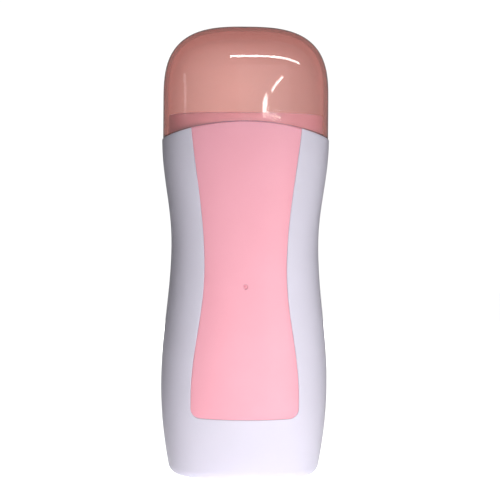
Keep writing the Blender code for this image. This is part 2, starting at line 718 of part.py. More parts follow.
def wires():
    mains = 1.6 * MM
    fine = 1.2 * MM
    wire(
        "wire_live",
        ((-4.3, 4.5, 16), (-4.6, -1, 17), (-7, -3, 27), (-9.6, 8, 40), (-10, 20, 49), (-10, 22, 54)),
        mains,
        RED_WIRE,
    )
    wire(
        "wire_fuse_to_thermostat",
        (
            (-10, 22, 71.5),
            (-13, 22.4, 74),
            (-20, 21.6, 77),
            (-23, 19.4, 85),
            (-23, 19.4, 105),
            (-20, 21, 113.5),
            (-9, 22, 117),
            (-3, 21.6, 117),
            (-2.2, 21.5, 119),
        ),
        mains,
        RED_WIRE,
    )
    wire(
        "wire_thermostat_to_ptc",
        ((2.2, 21.5, 119), (2, 21.7, 116), (-2, 21.8, 112.5), (-5, 21.8, 110), (-5, 21.8, 107.5)),
        mains,
        WHITE_WIRE,
    )
    wire(
        "wire_neutral",
        (
            (4.3, 4.5, 16),
            (4.6, -1, 17),
            (7, -3, 27),
            (9.6, 8, 40),
            (10, 20, 50),
            (11, 22.4, 60),
            (17, 22.2, 70),
            (23, 19.6, 80),
            (23, 19.4, 106),
            (19, 21.2, 115),
            (9, 21.9, 113.5),
            (5, 21.8, 110.5),
            (5, 21.8, 107.5),
        ),
        mains,
        BLUE_WIRE,
    )
    for word, side in (("live", -1), ("neutral", 1)):
        wire(
            f"wire_led_{word}",
            (
                (side * 4.3, 7, 18.4),
                (side * 4.3, 1, 19.8),
                (side * 3.5, -12, 28),
                (side * 3.5, -20, 42),
                (side * 3, -22.1, 58),
                (side * 3, -22.1, 67.5),
            ),
            fine,
            WHITE_WIRE,
        )


def main():
    clear_scene()
    front_shell()
    rear_shell()
    front_panel()
    neck_collar()
    cap()
    for number, (x, z) in enumerate(SCREW_PLACES, 1):
        case_screw(number, x, z)
    heating_well()
    insulation_sleeve()
    heater_stack()
    thermostat()
    thermal_fuse()
    light_pipe()
    led_board()
    inlet()
    wires()


main()
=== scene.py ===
"""Looks of the roll-on wax heater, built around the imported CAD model."""

import math

import bmesh
import bpy
from mathutils import Matrix, Vector
from mathutils.geometry import delaunay_2d_cdt


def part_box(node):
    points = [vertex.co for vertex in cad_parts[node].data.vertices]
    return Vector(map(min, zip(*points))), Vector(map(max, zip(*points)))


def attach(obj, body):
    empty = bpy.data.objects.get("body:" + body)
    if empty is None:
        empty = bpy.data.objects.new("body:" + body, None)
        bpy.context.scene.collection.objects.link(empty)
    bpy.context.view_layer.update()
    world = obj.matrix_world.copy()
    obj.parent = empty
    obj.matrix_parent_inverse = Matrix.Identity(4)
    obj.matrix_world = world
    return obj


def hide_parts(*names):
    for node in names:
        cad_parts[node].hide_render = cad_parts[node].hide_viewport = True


MM = 0.001

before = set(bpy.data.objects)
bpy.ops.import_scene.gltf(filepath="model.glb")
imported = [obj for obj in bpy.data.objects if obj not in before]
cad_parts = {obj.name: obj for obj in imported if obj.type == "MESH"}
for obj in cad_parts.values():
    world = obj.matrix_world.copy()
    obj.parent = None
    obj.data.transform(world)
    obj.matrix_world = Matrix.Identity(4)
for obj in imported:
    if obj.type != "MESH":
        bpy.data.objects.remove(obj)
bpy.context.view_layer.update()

# Places read from the frame
shell_low, shell_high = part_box("front_shell")
cap_low, cap_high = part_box("cap")
panel_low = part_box("front_panel")[0]
collar_low, collar_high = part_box("neck_collar")
well_low, well_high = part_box("heating_well")
pipe_low, pipe_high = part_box("light_pipe")
inlet_low, inlet_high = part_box("inlet_socket")
PIPE_Z = (pipe_low.z + pipe_high.z) / 2
INLET_Z = (inlet_low.z + inlet_high.z) / 2

# Body outline: half width and half depth at the hip, waist and shoulder. FACET is how far
# the true curve stands past the box of a faceted solid
SQUARENESS = 2.7
FACET = 1.004
SHOULDER_HALF = (shell_high.x * FACET, -shell_low.y * FACET)
HIP_HALF = (SHOULDER_HALF[0] * 0.9924, SHOULDER_HALF[1])
WAIST_HALF = (SHOULDER_HALF[0] * 0.8807, SHOULDER_HALF[1] * 0.9586)
HIP_Z = 43.4 * MM
WAIST_Z = 108 * MM
SHOULDER_Z = 157.3 * MM
BASE_TAPER = (4.6 * MM, 2.6 * MM)
BASE_RADIUS = 4.5 * MM
CASE_WALL = 2.2 * MM
PARTING_GAP = 0.12 * MM
EDGE_ROUND = 0.3 * MM

# Arched edge between the body and the cap
CAP_GAP = 0.4 * MM
RIM_SIDE_Z = cap_low.z - CAP_GAP
RIM_RISE = shell_high.z - RIM_SIDE_Z
RIM_RADIUS = (SHOULDER_HALF[0] ** 2 + RIM_RISE**2) / (2 * RIM_RISE)

# Cap
CAP_HALF = (cap_high.x, cap_high.y * FACET)
CAP_TOP_Z = cap_high.z
CAP_DOME_Z = 175 * MM
CAP_DOME_POWER = 3.0
CAP_WALL = 1.8 * MM

# Front panel edge: (height, half width) at its hip, waist and above its top
PANEL_BOTTOM_Z = panel_low.z - 0.3 * MM
PANEL_HIP = (37.4 * MM, 24.7 * MM)
PANEL_WAIST = (96.4 * MM, 18.8 * MM)
PANEL_TOP = (184.4 * MM, 26.6 * MM)
PANEL_CORNER = 4.5 * MM
PANEL_BOW = 0.5 * MM
PANEL_CLEARANCE = 0.05 * MM
PANEL_SKIN = 0.1 * MM
PANEL_BACK = 1.0 * MM
PANEL_ROUND = 0.25 * MM
RECESS_DEPTH = 1.3 * MM
RECESS_LIP = 0.4 * MM
RECESS_TOP_Z = 172 * MM
HOLE_END_Y = -20 * MM
AHEAD_Y = -45 * MM

# Indicator: the hole for its rod, and the groove round a dot on the rod's face
PIPE_HOLE = 1.25 * MM
PIPE_CLEARANCE = 0.08 * MM
PIPE_FLANGE = (2.0 * MM, 0.8 * MM)
GROOVE_DEPTH = 0.9 * MM
DOT_RADIUS = 0.5 * MM

# Case screws, driven from the rear: (y, radius) pairs run outwards
BOSS_START_Y = 3.2 * MM
BOSS_RADIUS = 3.9 * MM
BOSS_SINK = 0.6 * MM
SCREW_BORE = ((2 * MM, 1.6 * MM), (3 * MM, 1.6 * MM), (3 * MM, 2.7 * MM), (40 * MM, 2.7 * MM))

# Mains inlet: half sizes and the span of each block along Y
INLET_CORNER = 3 * MM
INLET_CLEARANCE = 0.25 * MM
INLET_BOSS = ((13.5 * MM, 10 * MM), (21.4 * MM, 27 * MM))
INLET_POCKET_Y = (25.5 * MM, 27.4 * MM)
INLET_FLARE_Y = (27.2 * MM, 31 * MM)
INLET_FLARE = 2.2 * MM
INLET_HOLE = ((10.2 * MM, 6.7 * MM), (15 * MM, 30 * MM))

# Neck collar and its mouth
COLLAR_ASPECT = 36.7 / 26.4
COLLAR_WALL = 1.6 * MM
COLLAR_DECK = 2 * MM
COLLAR_ROUND = 0.9 * MM
MOUTH_LEDGE = 1 * MM
MOUTH_CORNER = 9 * MM
MOUTH_ROUND = 1.2 * MM

# Heating well
WELL_WALL = 1.0 * MM
WELL_FLOOR = 1.2 * MM
WELL_CORNER = 10 * MM
WELL_FOLD = 2.0 * MM

# Mesh density
SHELL_COLUMNS = 120
SHELL_ROWS = 120
FOOT_ARC_STEPS = 12
FOOT_FLAT_STEPS = 10
RING_COLUMNS = 192
CAP_WALL_ROWS = 20
CAP_DOME_ROWS = 60
CORNER_STEPS = 10
COLLAR_ROW = 1.5 * MM
WELL_ROW = 12 * MM
LOOP_STEP = 1.4 * MM
PANEL_CORNER_STEPS = 12
FILL_STEP = 1.6 * MM
FILL_MARGIN = 0.6
BEVEL_SEGMENTS = 3
BEVEL_DEGREES = 50
SHARP_DEGREES = 40

# Surfaces
NOISE_DETAIL = 3.0
DRIFT_SCALE = 35
GLOSS_SCALE = 160
GRAIN_DEPTH = 0.05 * MM
PLASTIC_IOR = 1.49

# Stage
CAP_FACE = (0.0, -0.028, 0.18)
MIDDLE = (0.0, 0.0, 0.11)

# World light: on surfaces, in reflections, through the cap and as the backdrop
AMBIENT = 0.105
MIRRORED = 0.18
BEHIND = 0.5
BACKDROP = 1.05

# Floor: the glow that only the camera sees, and the pool of light under the body
FLOOR_SIZE = 6
FLOOR_GLOW = 0.92
POOL_GLOW = 0.65
POOL_RADIUS = 0.25

# Glowing card behind the cap
CARD_SIZE = 0.4
CARD_PLACE = (0, 0.35, 0.222)
CARD_RADIUS = 0.1
CARD_CENTRE = 1.05
CARD_EDGE = 0.62

# Soft lamps: place, aim, size and power
LIGHTS = (
    ("key_low", (0.075, -0.29, 0.02), (0, 0, 0.05), (0.22, 0.12), 0.88),
    ("fill_front", (0.27, -1.0, 0.35), MIDDLE, (0.6, 0.6), 0.52),
    ("back_soft", (-0.1, 1.3, 0.4), MIDDLE, (0.6, 0.6), 9.0),
    ("side_soft", (1.0, 0.45, 0.5), MIDDLE, (0.7, 0.7), 0.1),
)

# Thin lamps that only show as streaks in the glossy cap: ends, width and brightness
TUBES = (
    ("tube_arc", (-0.052, -0.433, 0.485), (0.371, -0.301, 0.425), 0.027, 26),
    ("tube_upper", (0.211, -0.471, 0.307), (0.119, -0.513, 0.238), 0.010, 26),
    ("tube_lower", (0.090, -0.519, 0.2290), (0.066, -0.523, 0.2215), 0.010, 26),
    ("tube_foot", (0.063, -0.523, 0.2178), (0.192, -0.493, 0.2128), 0.0017, 26),
    ("tube_left", (-0.479, -0.202, 0.330), (-0.466, -0.260, 0.215), 0.050, 2.2),
)

# Camera: where it stands, and its turn and roll in degrees
CAMERA_DISTANCE = 650 * MM
CAMERA_HEIGHT = 105.2 * MM
CAMERA_SIDE = 2.5 * MM
CAMERA_TURN = 1.3
CAMERA_ROLL = 0.42
FRAME_WIDTH = 237.1 * MM
SENSOR = 36.0


# Section and outline formulas


def ease(start, end, share):
    """Move from start to end along half a cosine wave."""
    return start + (end - start) * (1 - math.cos(math.pi * share)) / 2


def body_half(side, z):
    """Half width (side 0) or half depth (side 1) of the body at height z."""
    if z < HIP_Z:
        return HIP_HALF[side] - BASE_TAPER[side] * ((HIP_Z - z) / HIP_Z) ** 2
    if z < WAIST_Z:
        return ease(HIP_HALF[side], WAIST_HALF[side], (z - HIP_Z) / (WAIST_Z - HIP_Z))
    share = min((z - WAIST_Z) / (SHOULDER_Z - WAIST_Z), 1)
    return ease(WAIST_HALF[side], SHOULDER_HALF[side], share)


def oval_point(half_x, half_y, angle, z):
    """The point of a superellipse ring in the direction angle."""
    c = math.cos(angle)
    s = math.sin(angle)
    reach = (abs(c / half_x) ** SQUARENESS + abs(s / half_y) ** SQUARENESS) ** (-1 / SQUARENESS)
    return Vector((reach * c, reach * s, z))


def body_point(angle, z, inset=0.0):
    """The point of the body's outline at height z, moved in by inset."""
    return oval_point(body_half(0, z) - inset, body_half(1, z) - inset, angle, z)


def front_y(x, z):
    """Depth of the body's front face at x and z."""
    share = min(abs(x / body_half(0, z)), 1)
    return -body_half(1, z) * (1 - share**SQUARENESS) ** (1 / SQUARENESS)


def rim_z(x):
    """Height of the body's arched top edge at x."""
    return RIM_SIDE_Z + RIM_RISE - (RIM_RADIUS - math.sqrt(RIM_RADIUS**2 - x**2))


def panel_half(z):
    """Half width of the front panel at height z."""
    if z < PANEL_WAIST[0]:
        share = max((z - PANEL_HIP[0]) / (PANEL_WAIST[0] - PANEL_HIP[0]), 0)
        return ease(PANEL_HIP[1], PANEL_WAIST[1], share)
    return ease(PANEL_WAIST[1], PANEL_TOP[1], (z - PANEL_WAIST[0]) / (PANEL_TOP[0] - PANEL_WAIST[0]))


def spaced(start, end, step):
    """Evenly spaced numbers from start towards end, without the end itself."""
    count = max(round(abs(end - start) / step), 1)
    return [start + (end - start) * k / count for k in range(count)]


def panel_loop(top):
    """The panel's closed edge as (x, z), counterclockwise, where top(x) is its upper edge."""
    bottom_half = panel_half(PANEL_BOTTOM_Z)
    flat_half = bottom_half - PANEL_CORNER
    right = []
    for x in spaced(0, flat_half, LOOP_STEP):
        right.append((x, PANEL_BOTTOM_Z - PANEL_BOW * (1 - (x / flat_half) ** 2)))
    for step in range(PANEL_CORNER_STEPS):
        angle = math.radians(90 * step / PANEL_CORNER_STEPS)
        x = flat_half + PANEL_CORNER * math.sin(angle)
        right.append((x, PANEL_BOTTOM_Z + PANEL_CORNER * (1 - math.cos(angle))))
    corner_z = RECESS_TOP_Z
    for _ in range(8):
        corner_z = top(panel_half(corner_z))
    low = PANEL_BOTTOM_Z + PANEL_CORNER
    right += [(panel_half(z), z) for z in spaced(low, corner_z, LOOP_STEP)]
    corner_x = panel_half(corner_z)
    right += [(x, top(x)) for x in spaced(corner_x, 0, LOOP_STEP)]
    left = [(-x, z) for x, z in reversed(right[1:])]
    return right + [(0.0, top(0.0))] + left


def offset_loop(loop, distance):
    """Move every point of a counterclockwise loop outwards by distance, with mitred corners."""
    moved = []
    count = len(loop)
    for k, (x, z) in enumerate(loop):
        before = Vector(loop[k - 1])
        here = Vector((x, z))
        after = Vector(loop[(k + 1) % count])
        first = (here - before).normalized()
        second = (after - here).normalized()
        normal_a = Vector((first.y, -first.x))
        normal_b = Vector((second.y, -second.x))
        middle = (normal_a + normal_b).normalized()
        moved.append(tuple(here + middle * distance / max(middle.dot(normal_a), 0.5)))
    return moved


# Mesh building


def add_object(name, shape, outward=True):
    """Turn a bmesh into a smooth object."""
    if outward:
        bmesh.ops.recalc_face_normals(shape, faces=shape.faces)
    mesh = bpy.data.meshes.new(name)
    shape.to_mesh(mesh)
    shape.free()
    mesh.shade_smooth()
    obj = bpy.data.objects.new(name, mesh)
    bpy.context.scene.collection.objects.link(obj)
    return obj


def add_rows(shape, rows, closed=True):
    """Faces between successive rows of vertices."""
    count = len(rows[0])
    last = count if closed else count - 1
    for lower, upper in zip(rows, rows[1:]):
        for k in range(last):
            after = (k + 1) % count
            shape.faces.new((lower[k], lower[after], upper[after], upper[k]))


def loft(name, rings, capped=True):
    """Skin a stack of equal closed rings. Uncapped rings join last to first, as a tube loop."""
    shape = bmesh.new()
    rows = [[shape.verts.new(point) for point in ring] for ring in rings]
    if capped:
        add_rows(shape, rows)
        shape.faces.new(list(reversed(rows[0])))
        shape.faces.new(rows[-1])
    else:
        add_rows(shape, rows + rows[:1])
    return add_object(name, shape)


def rounded_ring(half_x, half_y, radius):
    """Points of a rectangle with round corners, as (x, y)."""
    points = []
    for quarter, (side_x, side_y) in enumerate(((1, 1), (-1, 1), (-1, -1), (1, -1))):
        for step in range(CORNER_STEPS + 1):
            angle = math.radians(90 * (quarter + step / CORNER_STEPS))
            x = side_x * (half_x - radius) + radius * math.cos(angle)
            y = side_y * (half_y - radius) + radius * math.sin(angle)
            points.append((x, y))
    return points


def circle_y(x, z, radius, y, steps=48):
    """A ring round an axis along Y."""
    turns = [2 * math.pi * k / steps for k in range(steps)]
    return [Vector((x + radius * math.cos(t), y, z + radius * math.sin(t))) for t in turns]


def turned_y(name, x, z, profile, steps=48):
    """A solid turned about an axis along Y, from a profile of (y, radius)."""
    return loft(name, [circle_y(x, z, radius, y, steps) for y, radius in profile])


def carve(target, tool, operation="DIFFERENCE"):
    """Cut a tool out of a target, or join it on, and remove the tool."""
    step = target.modifiers.new("carve", "BOOLEAN")
    step.operation = operation
    step.solver = "EXACT"
    step.object = tool
    settle(target)
    bpy.data.objects.remove(tool)


def settle(obj):
    """Turn an object's modifiers into plain mesh."""
    depsgraph = bpy.context.evaluated_depsgraph_get()
    mesh = bpy.data.meshes.new_from_object(obj.evaluated_get(depsgraph))
    obj.modifiers.clear()
    obj.data = mesh


def thicken(obj, wall_width):
    """Give an open surface a wall on its inner side."""
    wall = obj.modifiers.new("wall", "SOLIDIFY")
    wall.thickness = wall_width
    wall.offset = -1
    wall.use_even_offset = True
    settle(obj)


def smooth(obj):
    """Shade smooth, except across real edges."""
    obj.data.shade_smooth()
    obj.data.set_sharp_from_angle(angle=math.radians(SHARP_DEGREES))


def soften_edges(obj, width):
    """Round the edges that are sharper than BEVEL_DEGREES."""
    bevel = obj.modifiers.new("edges", "BEVEL")
    bevel.limit_method = "ANGLE"
    bevel.angle_limit = math.radians(BEVEL_DEGREES)
    bevel.width = width
    bevel.segments = BEVEL_SEGMENTS
    settle(obj)


# Materials


def new_material(name, roughness, metallic=0.0, colour=None):
    """A material and its Principled shader."""
    made = bpy.data.materials.new(name)
    made.use_nodes = True
    shader = made.node_tree.nodes["Principled BSDF"]
    shader.inputs["Roughness"].default_value = roughness
    shader.inputs["Metallic"].default_value = metallic
    if colour:
        shader.inputs["Base Color"].default_value = (*colour, 1)
    return made, shader


def object_noise(tree, scale, stretch=(1, 1, 1)):
    """Noise in the object's own space. Scale is the number of cells in a metre."""
    spot = tree.nodes.new("ShaderNodeTexCoord")
    mapping = tree.nodes.new("ShaderNodeMapping")
    mapping.inputs["Scale"].default_value = stretch
    noise = tree.nodes.new("ShaderNodeTexNoise")
    noise.inputs["Scale"].default_value = scale
    noise.inputs["Detail"].default_value = NOISE_DETAIL
    tree.links.new(spot.outputs["Object"], mapping.inputs["Vector"])
    tree.links.new(mapping.outputs["Vector"], noise.inputs["Vector"])
    return noise.outputs["Fac"]


def vary_colour(tree, shader, factor, first, second):
    """Drift between two colours."""
    ramp = tree.nodes.new("ShaderNodeValToRGB")
    ramp.color_ramp.elements[0].position = 0.35
    ramp.color_ramp.elements[0].color = (*first, 1)
    ramp.color_ramp.elements[1].position = 0.65
    ramp.color_ramp.elements[1].color = (*second, 1)
    tree.links.new(factor, ramp.inputs["Fac"])
    tree.links.new(ramp.outputs["Color"], shader.inputs["Base Color"])


def vary_roughness(tree, shader, factor, low, high):
    """Uneven gloss between two roughness values."""
    spread = tree.nodes.new("ShaderNodeMapRange")
    spread.inputs["From Min"].default_value = 0.3
    spread.inputs["From Max"].default_value = 0.7
    spread.inputs["To Min"].default_value = low
    spread.inputs["To Max"].default_value = high
    tree.links.new(factor, spread.inputs["Value"])
    tree.links.new(spread.outputs["Result"], shader.inputs["Roughness"])


def add_bump(tree, shader, height, strength, distance):
    bump = tree.nodes.new("ShaderNodeBump")
    bump.inputs["Strength"].default_value = strength
    bump.inputs["Distance"].default_value = distance
    tree.links.new(height, bump.inputs["Height"])
    tree.links.new(bump.outputs["Normal"], shader.inputs["Normal"])


def textured(name, first, second, roughness, metallic=0.0, grain=3500, strength=0.12, stretch=(1, 1, 1)):
    """A surface with slow colour drift, uneven gloss and a fine grain of bumps."""
    made, shader = new_material(name, roughness, metallic)
    tree = made.node_tree
    drift = object_noise(tree, DRIFT_SCALE)
    vary_colour(tree, shader, drift, first, second)
    patches = object_noise(tree, GLOSS_SCALE, stretch)
    vary_roughness(tree, shader, patches, roughness - 0.04, roughness + 0.05)
    fine = object_noise(tree, grain, stretch)
    add_bump(tree, shader, fine, strength, GRAIN_DEPTH)
    return made


def clear_plastic(name, tint, roughness, absorb, clearness, lamp_tint):
    """See-through plastic. lamp_tint colours the light that lamps send through it."""
    made, shader = new_material(name, roughness, colour=tint)
    shader.inputs["Transmission Weight"].default_value = clearness
    shader.inputs["IOR"].default_value = PLASTIC_IOR
    nodes = made.node_tree.nodes
    links = made.node_tree.links
    out = nodes["Material Output"]
    colour, density = absorb
    volume = nodes.new("ShaderNodeVolumeAbsorption")
    volume.inputs["Color"].default_value = (*colour, 1)
    volume.inputs["Density"].default_value = density
    links.new(volume.outputs["Volume"], out.inputs["Volume"])
    paths = nodes.new("ShaderNodeLightPath")
    clear = nodes.new("ShaderNodeBsdfTransparent")
    clear.inputs["Color"].default_value = (*lamp_tint, 1)
    either = nodes.new("ShaderNodeMixShader")
    links.new(paths.outputs["Is Shadow Ray"], either.inputs["Fac"])
    links.new(shader.outputs["BSDF"], either.inputs[1])
    links.new(clear.outputs["BSDF"], either.inputs[2])
    links.new(either.outputs["Shader"], out.inputs["Surface"])
    return made


WHITE = textured("white_abs", (0.735, 0.705, 0.815), (0.755, 0.725, 0.84), 0.34)
# Painted light: the collar is the body's white plastic, given a lighter, bluer copy so it reads brighter
# where it shows through the pink cap
COLLAR_BRIGHTENED = textured("collar_abs_brightened", (0.83, 0.77, 0.99), (0.85, 0.79, 1.0), 0.34)
PINK = textured("pink_abs", (0.97, 0.43, 0.52), (0.99, 0.45, 0.545), 0.42)
CLEAR = clear_plastic(
    "clear_pink", (1.0, 0.97, 0.96), 0.05, ((0.839, 0.15, 0.04), 280), 0.93, (1.0, 0.9, 0.92)
)
PIPE = textured("pipe_acrylic", (0.96, 0.43, 0.52), (0.98, 0.46, 0.55), 0.22, 0.0, 2500, 0.05)
BRUSHED = textured(
    "aluminium_drawn", (0.76, 0.77, 0.79), (0.83, 0.83, 0.84), 0.34, 1.0, 900, 0.25, (1, 1, 0.04)
)
BLACK = textured("black_plastic", (0.018, 0.018, 0.02), (0.028, 0.028, 0.03), 0.45, 0.0, 2500, 0.2)
NICKEL = textured("nickel", (0.66, 0.64, 0.60), (0.74, 0.72, 0.68), 0.22, 1.0, 2500, 0.08)
ZINC = textured("zinc_plate", (0.52, 0.53, 0.55), (0.66, 0.66, 0.66), 0.32, 1.0, 2000, 0.15)
CERAMIC = textured("heater_ceramic", (0.72, 0.68, 0.60), (0.84, 0.80, 0.72), 0.6, 0.0, 1800, 0.3)
MICA = textured("mica", (0.50, 0.40, 0.26), (0.68, 0.58, 0.42), 0.35, 0.0, 700, 0.3, (1, 1, 0.4))
FIBRE = textured("fibre_paper", (0.80, 0.78, 0.71), (0.90, 0.88, 0.82), 0.9, 0.0, 900, 0.6)
BOARD = textured("board_green", (0.02, 0.20, 0.07), (0.04, 0.28, 0.10), 0.4, 0.0, 1500, 0.15)
EPOXY = textured("led_epoxy", (0.80, 0.80, 0.76), (0.90, 0.90, 0.86), 0.2, 0.0, 900, 0.05)
RESISTOR = textured("resistor_lacquer", (0.62, 0.46, 0.28), (0.74, 0.58, 0.38), 0.4, 0.0, 1200, 0.2)
RED = textured("red_sleeve", (0.45, 0.02, 0.02), (0.56, 0.04, 0.04), 0.42, 0.0, 1500, 0.15)
BLUE = textured("blue_sleeve", (0.02, 0.08, 0.40), (0.04, 0.12, 0.50), 0.42, 0.0, 1500, 0.15)
PALE = textured("white_sleeve", (0.76, 0.76, 0.72), (0.86, 0.86, 0.82), 0.45, 0.0, 1500, 0.15)


def place(obj, look, body, node):
    """Give a piece its material, hang it on its body and hide the CAD node it stands for."""
    obj.data.materials.clear()
    obj.data.materials.append(look)
    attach(obj, body)
    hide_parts(node)


# Casing


def screw_places():
    """Each case screw's x and z."""
    places = []
    for number in range(1, 5):
        low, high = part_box(f"case_screw_{number}")
        places.append(((low.x + high.x) / 2, (low.z + high.z) / 2))
    return places


def half_cup(name, side):
    """One shell's outer surface: side -1 is the front and 1 the rear."""
    angles = [side * math.pi * k / SHELL_COLUMNS for k in range(SHELL_COLUMNS + 1)]
    columns = []
    for angle in angles:
        top = shell_high.z
        for _ in range(5):
            top = rim_z(body_point(angle, top).x)
        column = []
        for row in range(SHELL_ROWS + 1):
            z = top + (BASE_RADIUS - top) * row / SHELL_ROWS
            column.append(body_point(angle, z))
        for step in range(1, FOOT_ARC_STEPS + 1):
            turn = math.radians(90 * step / FOOT_ARC_STEPS)
            z = BASE_RADIUS * (1 - math.sin(turn))
            column.append(body_point(angle, z, BASE_RADIUS * (1 - math.cos(turn))))
        foot = column[-1]
        for step in range(1, FOOT_FLAT_STEPS + 1):
            column.append(Vector((foot.x, foot.y * (1 - step / FOOT_FLAT_STEPS), 0)))
        for point in column:
            point.y = side * max(abs(point.y), PARTING_GAP / 2)
        columns.append(column)
    shape = bmesh.new()
    rows = [[shape.verts.new(column[k]) for column in columns] for k in range(len(columns[0]))]
    add_rows(shape, rows, closed=False)
    bmesh.ops.remove_doubles(shape, verts=shape.verts, dist=1e-7)
    shape.normal_update()
    probe = min(shape.faces, key=lambda face: side * -face.calc_center_median().y)
    if probe.normal.y * side < 0:
        bmesh.ops.reverse_faces(shape, faces=shape.faces)
    cup = add_object(name, shape, outward=False)
    thicken(cup, CASE_WALL)
    soften_edges(cup, EDGE_ROUND)
    return cup


def surface_ring(loop, outset, depth):
    """A loop moved outwards by outset and set at a depth behind the front face."""
    moved = offset_loop(loop, outset) if outset else loop
    return [Vector((x, front_y(x, z) + depth, z)) for x, z in moved]


def inside(loop, x, z):
    """Whether a point lies in a closed loop of (x, z)."""
    found = False
    for k, (x2, z2) in enumerate(loop):
        x1, z1 = loop[k - 1]
        if (z1 > z) != (z2 > z) and x < (x2 - x1) * (z - z1) / (z2 - z1) + x1:
            found = not found
    return found


def fill_points(loop):
    """A grid of points inside a loop, clear of its edge."""
    clear = offset_loop(loop, -FILL_MARGIN * FILL_STEP)
    points = []
    rows = spaced(PANEL_BOTTOM_Z, RECESS_TOP_Z, FILL_STEP)
    for row, z in enumerate(rows):
        for x in spaced(-PANEL_TOP[1], PANEL_TOP[1], FILL_STEP):
            spot = (x + (row % 2) * FILL_STEP / 2, z)
            if inside(clear, *spot):
                points.append(spot)
    return points


def curved_fill(shape, loop, depth):
    """A surface that follows the body's front face inside a loop. Returns the loop's vertices."""
    flat = [Vector(spot) for spot in loop + fill_points(loop)]
    edge = list(range(len(loop)))
    spots, _, faces, *_ = delaunay_2d_cdt(flat, [], [edge], 1, 1e-7)
    verts = [shape.verts.new((p.x, front_y(p.x, p.y) + depth, p.y)) for p in spots]
    for face in faces:
        shape.faces.new([verts[k] for k in face])
    return verts[: len(loop)]


def recess_cutter():
    """The panel's recess, with a rounded lip where it meets the body's face."""
    loop = panel_loop(lambda x: RECESS_TOP_Z)
    just_ahead = (RECESS_LIP * 1.6, -RECESS_LIP * 0.08)
    profile = [just_ahead]
    for step in range(7):
        turn = math.radians(15 + 75 * step / 6)
        outset = RECESS_LIP * (1 - math.sin(turn))
        profile.append((outset, RECESS_LIP * (1 - math.cos(turn))))
    shape = bmesh.new()
    ahead = [Vector((x, AHEAD_Y, z)) for x, z in offset_loop(loop, RECESS_LIP * 4)]
    rings = [ahead] + [surface_ring(loop, *spot) for spot in profile]
    rows = [[shape.verts.new(point) for point in ring] for ring in rings]
    rows.append(curved_fill(shape, loop, RECESS_DEPTH))
    shape.faces.new(rows[0])
    add_rows(shape, rows)
    return add_object("recess_cutter", shape)


def front_shell():
    shell = half_cup("shell_front", -1)
    carve(shell, recess_cutter())
    smooth(shell)
    place(shell, WHITE, "body", "front_shell")


def block_y(name, half, y_range, flare=0.0):
    """A rounded block that faces along Y at the inlet's height, wider by flare at its outer end."""
    rings = []
    for y, grow in ((y_range[0], 0.0), (y_range[1], flare)):
        outline = rounded_ring(half[0] + grow, half[1] + grow, INLET_CORNER + grow)
        rings.append([Vector((x, y, INLET_Z + z)) for x, z in outline])
    return loft(name, rings)


def rear_shell():
    shell = half_cup("shell_rear", 1)
    carve(shell, block_y("inlet_boss", *INLET_BOSS), "UNION")
    for count, (x, z) in enumerate(screw_places(), 1):
        boss_end = -front_y(abs(x) + BOSS_RADIUS, z) - BOSS_SINK
        boss = ((BOSS_START_Y, BOSS_RADIUS), (boss_end, BOSS_RADIUS))
        carve(shell, turned_y(f"boss_{count}", x, z, boss), "UNION")
        carve(shell, turned_y(f"bore_{count}", x, z, SCREW_BORE))
    half_z = (inlet_high.z - inlet_low.z) / 2
    face_half = (inlet_high.x + INLET_CLEARANCE, half_z + INLET_CLEARANCE)
    carve(shell, block_y("inlet_pocket", face_half, INLET_POCKET_Y))
    carve(shell, block_y("inlet_flare", face_half, INLET_FLARE_Y, INLET_FLARE))
    carve(shell, block_y("inlet_hole", *INLET_HOLE))
    smooth(shell)
    place(shell, WHITE, "body", "rear_shell")


def front_panel():
    loop = offset_loop(panel_loop(rim_z), -PANEL_CLEARANCE)
    shape = bmesh.new()
    front = curved_fill(shape, offset_loop(loop, -PANEL_ROUND), PANEL_SKIN)
    back = curved_fill(shape, loop, PANEL_BACK)
    rows = [front]
    for step in range(1, 5):
        turn = math.radians(90 * step / 4)
        outset = PANEL_ROUND * (math.sin(turn) - 1)
        depth = PANEL_SKIN + PANEL_ROUND * (1 - math.cos(turn))
        rows.append([shape.verts.new(p) for p in surface_ring(loop, outset, depth)])
    rows.append(back)
    add_rows(shape, rows)
    panel = add_object("panel_pink", shape)
    ends = ((AHEAD_Y, PIPE_HOLE), (HOLE_END_Y, PIPE_HOLE))
    carve(panel, turned_y("pipe_hole", 0, PIPE_Z, ends, steps=40))
    smooth(panel)
    place(panel, PINK, "body", "front_panel")


# Indicator


def light_pipe():
    """The indicator's clear rod, with a groove round a small dot on its face."""
    face = front_y(0, PIPE_Z) + PANEL_SKIN
    radius = PIPE_HOLE - PIPE_CLEARANCE
    flange_radius, flange_depth = PIPE_FLANGE
    profile = [
        (pipe_high.y, flange_radius),
        (pipe_high.y - flange_depth, flange_radius),
        (pipe_high.y - flange_depth, radius),
        (face + 0.1 * MM, radius),
        (face, radius - 0.1 * MM),
        (face + GROOVE_DEPTH, radius - 0.15 * MM),
        (face + GROOVE_DEPTH, DOT_RADIUS + 0.05 * MM),
        (face + 0.05 * MM, DOT_RADIUS),
        (face, DOT_RADIUS - 0.1 * MM),
    ]
    pipe = turned_y("light_pipe_lens", 0, PIPE_Z, profile)
    smooth(pipe)
    place(pipe, PIPE, "body", "light_pipe")


# Cap and collar


